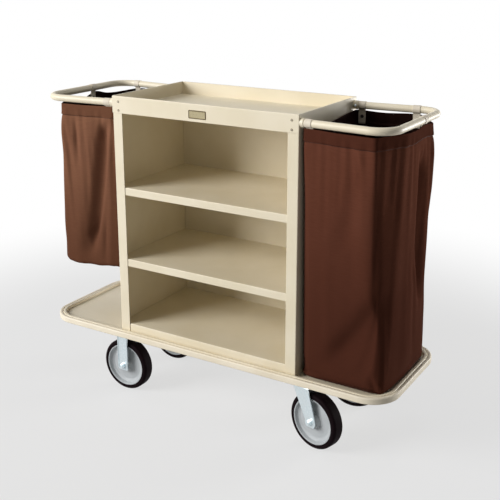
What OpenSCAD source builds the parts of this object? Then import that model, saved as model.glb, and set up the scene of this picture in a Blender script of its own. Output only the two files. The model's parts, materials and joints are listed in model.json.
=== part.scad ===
/* [Cabinet] */
// Width of the cabinet over its side panels
cabinet_w = 752; // [620:1:900]
// Depth of the cabinet over the tray apron and the back flanges
cabinet_d = 432; // [380:1:520]
// Height of the cart from the floor to the tray's top edge
cart_h = 1168; // [1050:1:1260]
// Thickness of the cabinet's sheet steel
sheet = 2; // [1.5:0.1:3]
// Width of the flange that makes each front post
post_w = 40; // [32:1:55]
// Width of the flange behind each side panel
back_flange_w = 25; // [20:1:40]
// Width of the flange that fixes each side panel to the deck
foot_w = 30; // [24:1:40]
// Outer radius of the bends that show
bend_r = 3; // [3:0.5:5]
// Room between sheets that slide into each other
sheet_gap = 0.2; // [0.1:0.1:0.5]

/* [Shelves and tray] */
// Height of the tray's front apron
apron_h = 61; // [52:1:90]
// Depth of the tray inside
tray_depth = 48; // [30:1:50]
// Height of the upper shelf's surface over the deck
upper_shelf_rise = 572; // [480:1:620]
// Height of the middle shelf's surface over the deck
middle_shelf_rise = 298; // [200:1:380]
// Height of the bottom shelf's surface over the deck
bottom_shelf_rise = 39; // [34:1:60]
// Height of a shelf's front lip
lip_h = 28; // [22:1:34]
// Width of the strip turned back under a shelf's lip
lip_return_w = 14; // [8:1:20]
// Height of a shelf's side and back flanges
shelf_flange_h = 18; // [12:1:22]

/* [Platform] */
// Distance the platform stands out past the bag frames
platform_margin = 22.3; // [18:0.1:60]
// Corner radius of the platform over the bumper
platform_r = 105; // [70:1:140]
// Width of the rim around the deck
rim_w = 13; // [10:0.5:20]
// Height of the rim over the deck's floor
rim_rise = 12; // [8:0.5:20]
// Height of the outer skirt from the rim's top to its bottom edge
skirt_h = 25; // [18:0.5:32]
// Radius of the rim's rolled edges
rim_r = 4; // [3:0.5:4.5]
// Thickness of the deck's sheet steel
deck_t = 2; // [1.5:0.1:3]
// Thickness of the bumper strip
bumper_t = 14; // [10:0.5:20]
// Height of the bumper strip
bumper_h = 24; // [18:0.5:25]
// Radius of the bumper strip's edges
bumper_r = 5; // [3:0.5:5]
// Room between the cabinet and the rim
rim_gap = 1; // [0.5:0.1:3]
// Height of the channels between the casters and the deck
channel_h = 18.7; // [16:0.1:30]
// Thickness of the channels
channel_t = 3; // [2:0.1:4]
// Width of each flange on the channels
channel_flange_w = 18; // [12:1:25]

/* [Casters] */
// Diameter of the wheels over the tyre
wheel_d = 203.2; // [180:0.1:220]
// Width of the tyre
tyre_w = 49; // [40:0.5:52]
// Height of the tyre's sidewall
tyre_t = 17.6; // [12:0.1:22]
// Height of a caster over its wheel
caster_head_h = 38.1; // [37:0.1:50]
// Distance of the casters outside the cabinet's side panels
caster_out = 19; // [0:1:40]
// Distance of the casters inside the platform's long edges
caster_in = 86; // [74:1:110]
// Distance of a swivel wheel's axle behind its kingpin
trail = 44; // [36:1:52]
// Turn of the front swivel caster at rest
front_turn = -14; // [-90:1:90]
// Turn of the back swivel caster at rest
back_turn = 20; // [-90:1:90]
// Length of a caster's top plate
plate_l = 114; // [108:1:130]
// Width of a caster's top plate
plate_w = 102; // [96:1:116]
// Thickness of a caster's top plate
plate_t = 5; // [4:0.1:6]
// Distance of the plate's bolts from its edges
bolt_edge = 12; // [11:0.5:14]
// Diameter of the plate's bolts
bolt_d = 10; // [8:0.5:11]
// Width of a fork's legs at the axle
leg_w = 46; // [40:1:52]
// Thickness of a fork's legs
leg_t = 4; // [3:0.1:5]
// Height of the ribs along a leg's edges
leg_rib = 2.5; // [1.5:0.1:4]
// Gap between a fork's legs
fork_gap = 62; // [58:0.5:66]
// Diameter of the axle bolts
axle_d = 12.7; // [10:0.1:14]
// Diameter of the spacer tube on the axle
spacer_d = 20; // [18:0.1:22]
// Diameter of the bearing sleeve in the hub
bearing_d = 28; // [26:0.1:32]
// Diameter of the hub
hub_d = 50; // [44:0.5:56]
// Diameter of the kingpin
kingpin_d = 16; // [12:0.1:18]
// Diameter of the circle of balls in the swivel head
ball_circle_d = 48; // [46:0.5:54]
// Diameter of the balls
ball_d = 8; // [6:0.1:8.4]
// Number of balls
ball_count = 15; // [10:1:16]

/* [Bag frames] */
// Diameter of the frame tube
tube_d = 25.4; // [20:0.1:30]
// Wall of the frame tube
tube_t = 2; // [1.2:0.1:3]
// Distance from the side panel to the middle of the end bar
frame_reach = 314; // [260:1:400]
// Angle that each arm spreads out from the cabinet
splay = 5; // [0:0.5:6]
// Bend radius of the tube's middle line
frame_bend_r = 70; // [50:1:100]
// Distance of the tube's middle below the tray's top edge
frame_drop = 27; // [20:0.5:40]
// Length of the collar that holds each end of the tube
collar_l = 15; // [12:0.5:16]
// Wall of the collar
collar_t = 2.5; // [1.5:0.1:4]

/* [Bags] */
// Length of the left bag below its frame
left_bag_l = 622; // [400:1:780]
// Height of the right bag's bottom over the deck
right_bag_rise = 3; // [2:0.5:40]
// Thickness of the bag cloth with its hem
bag_t = 3; // [2:0.1:4]
// Gap between the frame tube and the bag's top edge
bag_gap = 4; // [3:0.1:8]
// Distance of the bags from the side panels
bag_off = 8; // [6:0.5:20]
// Distance that the bags draw in towards the bottom beside the cabinet
bag_near_draw = 8; // [0:1:20]
// Distance that the bags draw in towards the bottom at the end bar
bag_far_draw = 36; // [0:1:45]
// Corner radius of the bags at the end bar
bag_r = 62; // [40:1:80]
// Corner radius of the bags beside the cabinet
bag_inner_r = 8; // [5:0.5:9]
// Width of the webbing straps
strap_w = 26; // [20:0.5:30]
// Thickness of the webbing
strap_t = 1.6; // [1:0.1:2]
// Length of a strap inside the bag
strap_tail = 52; // [40:1:70]
// Distance of the end bar's strap from the middle of the cart
end_strap_y = 40; // [0:1:90]
// Diameter of the snaps on the straps
snap_d = 12; // [9:0.5:15]

/* [Hidden] */
$fn = 64;

PAINT = [0.93, 0.88, 0.79];
VINYL = [0.90, 0.85, 0.75];
ZINC = [0.72, 0.78, 0.80];
STEEL = [0.60, 0.61, 0.62];
GREY = [0.72, 0.73, 0.74];
RUBBER = [0.08, 0.07, 0.08];
CLOTH = [0.30, 0.17, 0.14];
WEBBING = [0.90, 0.87, 0.80];

// A positive cut runs this far past the face it opens
over = 1;
// Room around a piece that is pressed or laid on another of the same body
fit_gap = 0.05;
// Room around a turning shaft
run_gap = 0.05;
// Room around a bolt in its hole
bolt_gap = 0.15;

// Heights that stack from the floor up
axle_z = wheel_d / 2;
caster_h = wheel_d + caster_head_h;
deck_under = caster_h + channel_h;
deck_top = deck_under + deck_t;
rim_top = deck_top + rim_rise;
skirt_bottom = rim_top - skirt_h;
panel_top = cart_h - sheet;
tray_floor = cart_h - tray_depth;
frame_z = cart_h - frame_drop;

// Plan sizes of the cabinet
half_w = cabinet_w / 2;
half_d = cabinet_d / 2;
post_y = -half_d + sheet;
lip_y = post_y + sheet;
inside_x = half_w - sheet;
flange_y = half_d - sheet;
inside_y = flange_y - sheet;

// Plan sizes of the platform: the bumper's outside, the steel's outside and the deck's inside
platform_l = cabinet_w + 2 * frame_reach + tube_d + 2 * platform_margin;
platform_d = cabinet_d + 2 * (rim_gap + rim_w + bumper_t);
steel_l = platform_l - 2 * bumper_t;
steel_d = platform_d - 2 * bumper_t;
steel_r = platform_r - bumper_t;
deck_l = steel_l - 2 * rim_w;
deck_d = steel_d - 2 * rim_w;
deck_r = steel_r - rim_w;

// Places of the casters and their bolts
caster_x = half_w + caster_out;
caster_y = platform_d / 2 - caster_in;
bolt_x = plate_l / 2 - bolt_edge;
bolt_y = plate_w / 2 - bolt_edge;
bolt_head_h = 6;
bolt_head_d = 1.7 * bolt_d;
nut_h = 0.8 * bolt_d;
bolt_end = caster_h + channel_t + nut_h + 2;
channel_w = plate_l + 12;
channel_l = deck_d - 16;

// Heights and sizes of the swivel head, from the plate down
plate_under = caster_h - plate_t;
race_h = 5.3;
race_under = plate_under - race_h;
head_gap = 2;
fork_top = race_under - head_gap;
web_t = 6;
fork_under = fork_top - web_t;
ball_z = race_under - head_gap / 2;
ball_room = 0.3;
race_d = ball_circle_d + ball_d + 6;
washer_h = 4;
kingpin_nut_h = 9;
kingpin_head_h = 3;
kingpin_head_d = kingpin_d + 10;
lower_race_z = fork_under - ball_room;
kingpin_end = lower_race_z - washer_h - kingpin_nut_h - 2;
half_fork = fork_gap / 2 + leg_t;
fork_bend_r = 10;
leg_end = 17;

// Sizes of the wheel
disc_r = wheel_d / 2 - tyre_t;
hub_half = fork_gap / 2 - 1.5;
rim_half = tyre_w / 2 - 1;
axle_head_h = 8;
axle_nut_h = 10;
axle_tip = 3;

// Bag frame: middle line of the tube in plan, with arms that spread a little towards the end bar
arm_y = half_d - tube_d / 2 - collar_t - fit_gap - sheet_gap;
end_y = arm_y + frame_reach * tan(splay);
bend_turn = 90 + splay;
bend_cut = frame_bend_r * tan(bend_turn / 2);
arm_l = frame_reach / cos(splay) - bend_cut;
bend_y = end_y - bend_cut;
arm_start = tube_d / 2 * sin(splay) + fit_gap;
bend_thin = 0.03;
bend_lap = 0.5;
collar_r = tube_d / 2 + fit_gap + collar_t;
strap_near = collar_l + strap_w / 2 + 2;
strap_far = arm_l - strap_w / 2;

// Bags hang below the tube
bag_top = frame_z - tube_d / 2 - bag_gap;
right_bag_bottom = deck_top + right_bag_rise;
left_bag_bottom = bag_top - left_bag_l;
bag_edge = 2;
bag_hem_h = strap_tail + 10;
bag_steps = 6;
strap_room = 0.4;
snap_y = bag_t - bag_edge + strap_room + strap_t + fit_gap;

// Screws
screw_d = 4.8;
screw_head_d = 9;
screw_head_h = 2.6;
screw_l = 3 * sheet + 0.8;
tray_screw_x = half_w - post_w / 2 - 6;
tray_screw_drops = [20, 51];
base_screw_ys = [-80, 0, 80];
base_screw_x = inside_x - foot_w / 2;

// Rounded rectangle in the plane, centred
module rounded(l, w, r) {
    square([l - 2 * r, w], center = true);
    square([l, w - 2 * r], center = true);
    for (x = [-1, 1], y = [-1, 1])
        translate([x * (l / 2 - r), y * (w / 2 - r)])
            circle(r);
}

// Quarter of a bent sheet in the plane, from +X to +Y around the origin
module bend(r, t) {
    difference() {
        intersection() {
            circle(r);
            square(r);
        }
        square(r - t);
    }
}

// Carries a profile around a rounded rectangle: X of the profile points out, Y points up
module around(l, w, r) {
    for (k = [0 : 3]) {
        run = k % 2 == 0 ? w - 2 * r : l - 2 * r;
        out = k % 2 == 0 ? l / 2 : w / 2;
        rotate([0, 0, 90 * k])
            translate([out, run / 2, 0])
                rotate([90, 0, 0])
                    linear_extrude(run)
                        children();
        translate([(k == 0 || k == 3 ? 1 : -1) * (l / 2 - r), (k < 2 ? 1 : -1) * (w / 2 - r), 0])
            rotate([0, 0, 90 * k])
                rotate_extrude(angle = 90)
                    translate([r, 0])
                        children();
    }
}

// Puts a piece made for the right end on the chosen end
module on_end(side) {
    if (side > 0)
        children();
    else
        mirror([1, 0, 0])
            children();
}

module hex(across, h) {
    cylinder(d = across / cos(30), h = h, $fn = 6);
}

// Platform

// Section of the rolled rim: inner wall, top and outer skirt
module rim_profile() {
    difference() {
        union() {
            translate([rim_w / 2, skirt_h / 2])
                rounded(rim_w, skirt_h, rim_r);
            square([rim_w, skirt_h / 2]);
        }
        translate([deck_t, -over])
            square([rim_w - 2 * deck_t, skirt_h - rim_r + over]);
        translate([rim_r, -over])
            square([rim_w - 2 * rim_r, skirt_h - deck_t + over]);
        for (x = [rim_r, rim_w - rim_r])
            translate([x, skirt_h - rim_r])
                circle(rim_r - deck_t);
        translate([-over, -over])
            square([deck_t + 2 * over, deck_under - skirt_bottom + over]);
    }
}

module platform_deck() {
    color(PAINT) {
        translate([0, 0, skirt_bottom])
            around(deck_l, deck_d, deck_r)
                rim_profile();
        translate([0, 0, deck_under])
            linear_extrude(deck_t)
                difference() {
                    rounded(deck_l + 2 * deck_t, deck_d + 2 * deck_t, deck_r + deck_t);
                    for (x = [-1, 1], y = base_screw_ys)
                        translate([x * base_screw_x, y])
                            circle(d = screw_d + 2 * bolt_gap);
                }
    }
}

module bumper() {
    color(VINYL)
        translate([0, 0, skirt_bottom])
            around(steel_l, steel_d, steel_r)
                translate([bumper_t / 2, bumper_h / 2])
                    rounded(bumper_t, bumper_h, bumper_r);
}

// Channel open upwards, with flanges against the deck's underside
module channel(side) {
    color(PAINT)
        translate([side * caster_x, 0, caster_h])
            difference() {
                translate([0, channel_l / 2, 0])
                    rotate([90, 0, 0])
                        linear_extrude(channel_l)
                            difference() {
                                union() {
                                    translate([-channel_w / 2, 0])
                                        square([channel_w, channel_h]);
                                    translate([-channel_w / 2 - channel_flange_w, channel_h - channel_t])
                                        square([channel_w + 2 * channel_flange_w, channel_t]);
                                }
                                translate([-channel_w / 2 + channel_t, channel_t])
                                    square([channel_w - 2 * channel_t, channel_h]);
                            }
                for (y = [-1, 1])
                    translate([0, y * caster_y, -over])
                        plate_holes(channel_t + 2 * over);
            }
}

// Cabinet

// Folded section of a right side panel seen from above: post flange, side and back flange
module panel_section() {
    translate([half_w - bend_r, post_y + bend_r])
        rotate(-90)
            bend(bend_r, sheet);
    translate([half_w - bend_r, half_d - bend_r])
        bend(bend_r, sheet);
    translate([half_w - post_w, post_y])
        square([post_w - bend_r, sheet]);
    translate([inside_x, post_y + bend_r])
        square([sheet, half_d - post_y - 2 * bend_r]);
    translate([half_w - back_flange_w, flange_y])
        square([back_flange_w - bend_r, sheet]);
}

module side_panel(side) {
    foot_d = cabinet_d - 2 * post_w;
    color(PAINT)
        on_end(side)
            difference() {
                union() {
                    translate([0, 0, deck_top])
                        linear_extrude(panel_top - deck_top)
                            panel_section();
                    translate([inside_x - foot_w, -foot_d / 2, deck_top])
                        cube([foot_w + sheet / 2, foot_d, sheet]);
                }
                for (drop = tray_screw_drops)
                    translate([tray_screw_x, lip_y + over, cart_h - drop])
                        rotate([90, 0, 0])
                            cylinder(d = screw_d + 2 * bolt_gap, h = 2 * sheet + 2 * over);
                for (y = base_screw_ys)
                    translate([base_screw_x, y, deck_top - over])
                        cylinder(d = screw_d + 2 * bolt_gap, h = sheet + 2 * over);
            }
}

module back_panel() {
    panel_x = half_w - bend_r - sheet_gap;
    color(PAINT)
        translate([-panel_x, inside_y, deck_top])
            cube([2 * panel_x, sheet, panel_top - deck_top]);
}

// Open tray: the apron laps over the front posts and a narrow hem covers the panels' top edges
module top_tray() {
    wall_x = inside_x - sheet_gap;
    wall_y = inside_y - sheet_gap;
    pan_x = wall_x - sheet;
    pan_y = lip_y + sheet_gap + sheet;
    pan_d = wall_y - sheet - pan_y;
    floor_under = tray_floor - sheet;
    mouth_x = half_w - post_w - sheet_gap;
    color(PAINT)
        difference() {
            union() {
                translate([-half_w, -half_d, cart_h - apron_h])
                    cube([cabinet_w, sheet, apron_h - bend_r]);
                translate([-half_w, -half_d + bend_r, cart_h - bend_r])
                    rotate([90, 0, 90])
                        linear_extrude(cabinet_w)
                            rotate(90)
                                bend(bend_r, sheet);
                difference() {
                    translate([-half_w, -half_d + bend_r, panel_top])
                        cube([cabinet_w, cabinet_d - bend_r, sheet]);
                    translate([-pan_x, pan_y, panel_top - over])
                        cube([2 * pan_x, pan_d, sheet + 2 * over]);
                }
                translate([-mouth_x, post_y - sheet / 2, floor_under])
                    cube([2 * mouth_x, 2 * sheet, sheet]);
                difference() {
                    translate([-wall_x, lip_y + sheet_gap, floor_under])
                        cube([2 * wall_x, wall_y - lip_y - sheet_gap, panel_top + sheet / 2 - floor_under]);
                    translate([-pan_x, pan_y, tray_floor])
                        cube([2 * pan_x, pan_d, tray_depth]);
                }
            }
            for (x = [-1, 1], drop = tray_screw_drops)
                translate([x * tray_screw_x, pan_y + over, cart_h - drop])
                    rotate([90, 0, 0])
                        cylinder(d = screw_d + 2 * bolt_gap, h = 4 * sheet + 2 * over);
        }
}

// Shelf with a down-turned front lip and flanges on the other three sides
module shelf(rise, lip, return_w) {
    wall_x = inside_x - sheet_gap;
    wall_y = inside_y - sheet_gap;
    top = deck_top + rise;
    color(PAINT) {
        translate([-wall_x, 0, top])
            rotate([90, 0, 90])
                linear_extrude(2 * wall_x) {
                    translate([lip_y + bend_r, -bend_r])
                        rotate(90)
                            bend(bend_r, sheet);
                    translate([lip_y + bend_r, -sheet])
                        square([wall_y - lip_y - bend_r, sheet]);
                    translate([lip_y, -lip])
                        square([sheet, lip - bend_r]);
                    translate([lip_y, -lip])
                        square([return_w, sheet]);
                    translate([wall_y - sheet, -shelf_flange_h])
                        square([sheet, shelf_flange_h]);
                }
        for (x = [-wall_x, wall_x - sheet])
            translate([x, lip_y + sheet, top - shelf_flange_h])
                cube([sheet, wall_y - lip_y - sheet, shelf_flange_h - sheet / 2]);
    }
}

module upper_shelf() {
    shelf(upper_shelf_rise, lip_h, lip_return_w);
}

module middle_shelf() {
    shelf(middle_shelf_rise, lip_h, lip_return_w);
}

module bottom_shelf() {
    shelf(bottom_shelf_rise, bottom_shelf_rise, sheet);
}

// Pan-head screw along +Z, with its head's seat at the origin
module screw(l) {
    translate([0, 0, -screw_head_h])
        cylinder(d1 = 0.72 * screw_head_d, d2 = screw_head_d, h = screw_head_h);
    cylinder(d = screw_d, h = l);
}

module tray_screws() {
    color(ZINC)
        for (x = [-1, 1], drop = tray_screw_drops)
            translate([x * tray_screw_x, -half_d, cart_h - drop])
                rotate([-90, 0, 0])
                    screw(screw_l);
}

module base_screws() {
    color(ZINC)
        for (x = [-1, 1], y = base_screw_ys)
            translate([x * base_screw_x, y, deck_top + sheet])
                rotate([180, 0, 0])
                    screw(sheet + deck_t + 6);
}

// Bag frames

// Section of the frame tube, with its wall thinned by the given amount on each side
module tube_section(thin) {
    difference() {
        circle(d = tube_d - 2 * thin);
        circle(d = tube_d - 2 * tube_t + 2 * thin);
    }
}

// Half of the U-shaped tube: half the end bar, a bend drawn a little thinner and an arm
module half_frame() {
    translate([half_w + frame_reach - frame_bend_r, bend_y, frame_z]) {
        rotate_extrude(angle = bend_turn)
            translate([frame_bend_r, 0])
                tube_section(bend_thin);
        translate([frame_bend_r, bend_lap, 0])
            rotate([90, 0, 0])
                linear_extrude(bend_y + bend_lap)
                    tube_section(0);
        rotate([0, 0, bend_turn])
            translate([frame_bend_r, -bend_lap, 0])
                rotate([-90, 0, 0])
                    linear_extrude(arm_l - arm_start + bend_lap)
                        tube_section(0);
    }
}

module bag_frame(side) {
    color(PAINT)
        on_end(side)
            difference() {
                union() {
                    half_frame();
                    mirror([0, 1, 0])
                        half_frame();
                }
                for (y = [-1, 1])
                    collar_screw_place(y)
                        cylinder(d = screw_d + 2 * bolt_gap, h = tube_d / 2);
            }
}

// Frame of one arm: X along the arm from the side panel
module arm_place(y) {
    translate([half_w, 0, frame_z])
        mirror([0, y < 0 ? 1 : 0, 0])
            translate([0, arm_y, 0])
                rotate([0, 0, splay])
                    children();
}

// On the inner side of each collar, with Z along the screw and the collar's skin at the origin
module collar_screw_place(y) {
    arm_place(y)
        translate([collar_l / 2, -collar_r, 0])
            rotate([-90, 0, 0])
                children();
}

// Short sleeves cut flush with the side panel they are welded to
module collars(side) {
    color(PAINT)
        on_end(side)
            for (y = [-1, 1])
                difference() {
                    arm_place(y)
                        rotate([0, 90, 0])
                            difference() {
                                translate([0, 0, -tube_d])
                                    cylinder(r = collar_r, h = collar_l + tube_d);
                                translate([0, 0, -2 * tube_d])
                                    cylinder(d = tube_d + 2 * fit_gap, h = collar_l + 3 * tube_d);
                            }
                    collar_screw_place(y)
                        translate([0, 0, -over])
                            cylinder(d = screw_d + 2 * bolt_gap, h = tube_d / 2);
                    translate([half_w - 3 * tube_d, y * arm_y - 2 * tube_d, frame_z - 2 * tube_d])
                        cube([3 * tube_d, 4 * tube_d, 4 * tube_d]);
                }
}

module collar_screws() {
    color(ZINC)
        for (side = [-1, 1])
            on_end(side)
                for (y = [-1, 1])
                    collar_screw_place(y)
                        screw(collar_t + tube_t + over);
}

// Bags

// Y of a line inside the arm's middle line, at a place along the cart
function side_y(x, inset) = arm_y + (x - half_w) * tan(splay) - inset / cos(splay);

// Outline of a right bag at one height, with its corners from +X round to -Y
function bag_ring(z, thin, drawn) = [
    for (c = [0 : 3], k = [0 : bag_steps])
        let (
            far = c == 0 || c == 3,
            r = far ? bag_r : bag_inner_r,
            x = far ? half_w + frame_reach + bag_edge - r : half_w + bag_off + r,
            y = side_y(x, r - bag_edge) - (drawn ? (far ? bag_far_draw : bag_near_draw) : 0),
            a = 90 * (c + k / bag_steps)
        )
        [x + (r - thin) * cos(a), (c < 2 ? y : -y) + (r - thin) * sin(a), z]
];

// Open bag: straight along the hem, then tapered to a flat bottom
module bag(side, bottom) {
    n = 4 * (bag_steps + 1);
    bands = [0 : n : 4 * n];
    hem = bag_top - bag_hem_h;
    rings = [
        bag_ring(bottom, 0, true), bag_ring(hem, 0, false), bag_ring(bag_top, 0, false),
        bag_ring(bag_top, bag_t, false), bag_ring(hem, bag_t, false), bag_ring(bottom + bag_t, bag_t, true)
    ];
    color(CLOTH)
        on_end(side)
            polyhedron(
                points = [for (ring = rings, p = ring) p],
                faces = concat(
                    [[for (j = [0 : n - 1]) j], [for (j = [n - 1 : -1 : 0]) 5 * n + j]],
                    [for (i = bands, j = [0 : n - 1]) [i + j, i + n + j, i + n + (j + 1) % n]],
                    [for (i = bands, j = [0 : n - 1]) [i + j, i + n + (j + 1) % n, i + (j + 1) % n]]
                )
            );
}

// Strap around the tube along X at the origin, with a tail that hangs inside the bag
module strap() {
    ring_r = tube_d / 2 + fit_gap;
    tail_y = bag_t - bag_edge + strap_room;
    translate([-strap_w / 2, 0, 0])
        rotate([0, 90, 0])
            difference() {
                cylinder(r = ring_r + strap_t, h = strap_w);
                translate([0, 0, -over])
                    cylinder(r = ring_r, h = strap_w + 2 * over);
            }
    translate([-strap_w / 2, -tail_y - strap_t, -ring_r - strap_tail])
        difference() {
            cube([strap_w, strap_t, strap_tail]);
            translate([-over, tail_y + strap_t, strap_tail + ring_r])
                rotate([0, 90, 0])
                    cylinder(r = ring_r, h = strap_w + 2 * over);
        }
}

// Places a strap's pieces at all four straps of the right bag
module strap_places() {
    for (place = [[-1, strap_near], [1, strap_near], [1, strap_far]])
        arm_place(place[0])
            translate([place[1], 0, 0])
                children();
    translate([half_w + frame_reach, end_strap_y, frame_z])
        rotate([0, 0, -90])
            children();
}

module straps(side) {
    color(WEBBING)
        on_end(side)
            strap_places()
                strap();
}

module snaps(side) {
    color(STEEL)
        on_end(side)
            strap_places()
                translate([0, -snap_y, -(tube_d + strap_tail) / 2])
                    rotate([90, 0, 0]) {
                        cylinder(d = snap_d, h = 1.2);
                        cylinder(d = 0.6 * snap_d, h = 2.6);
                    }
}

// Casters

// Four bolt holes of a caster's plate
module plate_holes(h) {
    for (x = [-1, 1], y = [-1, 1])
        translate([x * bolt_x, y * bolt_y, 0])
            cylinder(d = bolt_d + 2 * bolt_gap, h = h);
}

// Repeats a piece at every bolt of the four casters
module at_bolts() {
    for (cx = [-1, 1], cy = [-1, 1], x = [-1, 1], y = [-1, 1])
        translate([cx * caster_x + x * bolt_x, cy * caster_y + y * bolt_y, 0])
            children();
}

module caster_bolts() {
    color(ZINC)
        at_bolts() {
            translate([0, 0, plate_under - bolt_head_h])
                hex(bolt_head_d, bolt_head_h);
            translate([0, 0, plate_under - over])
                cylinder(d = bolt_d, h = bolt_end - plate_under + over);
        }
}

module caster_nuts() {
    color(ZINC)
        at_bolts()
            translate([0, 0, caster_h + channel_t])
                difference() {
                    hex(bolt_head_d, nut_h);
                    translate([0, 0, -over])
                        cylinder(d = bolt_d + 2 * fit_gap, h = nut_h + 2 * over);
                }
}

// Top plate with rounded corners, its underside at plate_under
module top_plate() {
    translate([0, 0, plate_under])
        difference() {
            linear_extrude(plate_t)
                rounded(plate_l, plate_w, 8);
            translate([0, 0, -over])
                plate_holes(plate_t + 2 * over);
        }
}

// Pressed fork section across the wheel: two legs and the web that joins them at height top
module fork_section(top, t_web) {
    translate([0, -half_fork])
        difference() {
            union() {
                translate([axle_z - leg_end, 0])
                    square([top - fork_bend_r - axle_z + leg_end, 2 * half_fork]);
                translate([top - 2 * fork_bend_r, fork_bend_r])
                    square([2 * fork_bend_r, 2 * (half_fork - fork_bend_r)]);
                for (y = [fork_bend_r, 2 * half_fork - fork_bend_r])
                    translate([top - fork_bend_r, y])
                        circle(fork_bend_r);
            }
            translate([axle_z - leg_end - over, leg_t])
                square([top - t_web - axle_z + leg_end + over, fork_gap]);
        }
}

// Bar of the fork section, as long as the fork's widest part
module fork_bar(top, t_web, l) {
    translate([-l / 2, 0, 0])
        rotate([0, -90, 180])
            linear_extrude(l)
                fork_section(top, t_web);
}

module axle_hole() {
    translate([0, half_fork + leg_rib + over, axle_z])
        rotate([90, 0, 0])
            cylinder(d = axle_d + 2 * bolt_gap, h = 2 * (half_fork + leg_rib + over));
}

// Outline of a straight leg seen from the side
module straight_leg() {
    corner = 8;
    translate([0, axle_z - leg_end])
        translate([0, (plate_under - axle_z + leg_end) / 2])
            rounded(leg_w, plate_under - axle_z + leg_end, corner);
    translate([-leg_w / 2, plate_under - 2 * corner])
        square([leg_w, 2 * corner]);
}

// Ribs pressed out along both edges of each leg
module leg_ribs(from, to) {
    for (x = [-leg_w / 2, leg_w / 2 - leg_rib], y = [-half_fork - leg_rib, half_fork - leg_t / 2])
        translate([x, y, from])
            cube([leg_rib, leg_rib + leg_t / 2, to - from]);
}

module rigid_fork(y) {
    color(ZINC)
        translate([-caster_x, y * caster_y, 0]) {
            top_plate();
            difference() {
                union() {
                    intersection() {
                        fork_bar(plate_under, web_t, leg_w + 2 * over);
                        translate([0, half_fork + over, 0])
                            rotate([90, 0, 0])
                                linear_extrude(2 * (half_fork + over))
                                    straight_leg();
                    }
                    leg_ribs(axle_z - leg_end + 8, plate_under - fork_bend_r);
                }
                axle_hole();
            }
        }
}

// Puts a swivel caster's turning pieces in place, with X towards the trailing wheel
module on_swivel(y) {
    translate([caster_x, y * caster_y, 0])
        rotate([0, 0, y < 0 ? front_turn : back_turn])
            children();
}

// Outline of a trailing leg seen from the side: wide below the swivel head and round at the axle
module trailing_leg() {
    top_back = race_d / 2 + 2;
    leg_r = leg_w / 2;
    polygon(concat(
        [[-top_back, fork_under - 10], [-top_back, fork_top + over], [top_back, fork_top + over]],
        [[top_back, fork_under - 6]],
        [for (a = [15 : -15 : -195]) [trail + leg_r * cos(a), axle_z + leg_r * sin(a)]]
    ));
}

// Ring-shaped track for the balls
module ball_track() {
    translate([0, 0, ball_z])
        rotate_extrude()
            translate([ball_circle_d / 2, 0])
                circle(d = ball_d + 2 * ball_room);
}

module swivel_plate(y) {
    color(ZINC)
        translate([caster_x, y * caster_y, 0])
            difference() {
                union() {
                    top_plate();
                    translate([0, 0, race_under])
                        cylinder(d = race_d, h = race_h + plate_t / 2);
                }
                ball_track();
                translate([0, 0, race_under - over])
                    cylinder(d = kingpin_d + 2 * fit_gap, h = caster_h);
                translate([0, 0, caster_h - kingpin_head_h])
                    cylinder(d = kingpin_head_d + 2 * fit_gap, h = plate_t);
            }
}

module kingpin(y) {
    color(STEEL)
        translate([caster_x, y * caster_y, 0]) {
            translate([0, 0, caster_h - kingpin_head_h + fit_gap])
                cylinder(d = kingpin_head_d, h = kingpin_head_h - fit_gap);
            translate([0, 0, kingpin_end])
                cylinder(d = kingpin_d, h = caster_h - kingpin_end);
        }
}

// Lower race and nut that hold the fork up on the kingpin
module kingpin_nut(y) {
    color(ZINC)
        translate([caster_x, y * caster_y, 0])
            for (piece = [0, 1])
                difference() {
                    if (piece == 0)
                        translate([0, 0, lower_race_z - washer_h])
                            cylinder(d = 2.4 * kingpin_d, h = washer_h);
                    else
                        translate([0, 0, lower_race_z - washer_h - fit_gap - kingpin_nut_h])
                            hex(1.5 * kingpin_d, kingpin_nut_h);
                    translate([0, 0, kingpin_end])
                        cylinder(d = kingpin_d + 2 * fit_gap, h = caster_h);
                }
}

module balls(y) {
    color(STEEL)
        translate([caster_x, y * caster_y, ball_z])
            for (k = [0 : ball_count - 1])
                rotate([0, 0, 360 * k / ball_count])
                    translate([ball_circle_d / 2, 0, 0])
                        sphere(d = ball_d);
}

module swivel_fork(y) {
    reach = 2 * (trail + leg_w);
    color(ZINC)
        on_swivel(y)
            difference() {
                intersection() {
                    fork_bar(fork_top, web_t, reach);
                    translate([0, half_fork + over, 0])
                        rotate([90, 0, 0])
                            linear_extrude(2 * (half_fork + over))
                                trailing_leg();
                }
                translate([trail, 0, 0])
                    axle_hole();
                translate([0, 0, fork_under - over])
                    cylinder(d = kingpin_d + 2 * run_gap, h = web_t + 2 * over);
                ball_track();
            }
}

// Bolt through both legs and its nut on the front leg
module axle() {
    color(ZINC)
        translate([0, 0, axle_z])
            rotate([90, 0, 0]) {
                translate([0, 0, -half_fork - axle_head_h])
                    rotate([0, 0, 30])
                        hex(1.5 * axle_d, axle_head_h);
                translate([0, 0, -half_fork - over])
                    cylinder(d = axle_d, h = 2 * half_fork + over + axle_nut_h + axle_tip);
                translate([0, 0, half_fork])
                    difference() {
                        hex(1.5 * axle_d, axle_nut_h);
                        translate([0, 0, -over])
                            cylinder(d = axle_d + 2 * fit_gap, h = axle_nut_h + 2 * over);
                    }
            }
}

// Tube about the wheel's axle
module axle_tube(outer, inner, l) {
    translate([0, l / 2, axle_z])
        rotate([90, 0, 0])
            difference() {
                cylinder(d = outer, h = l);
                translate([0, 0, -over])
                    cylinder(d = inner, h = l + 2 * over);
            }
}

module spacer() {
    color(STEEL)
        axle_tube(spacer_d, axle_d + 2 * fit_gap, fork_gap);
}

module bearing() {
    color(STEEL)
        axle_tube(bearing_d, spacer_d + 2 * run_gap, 2 * hub_half);
}

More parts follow.
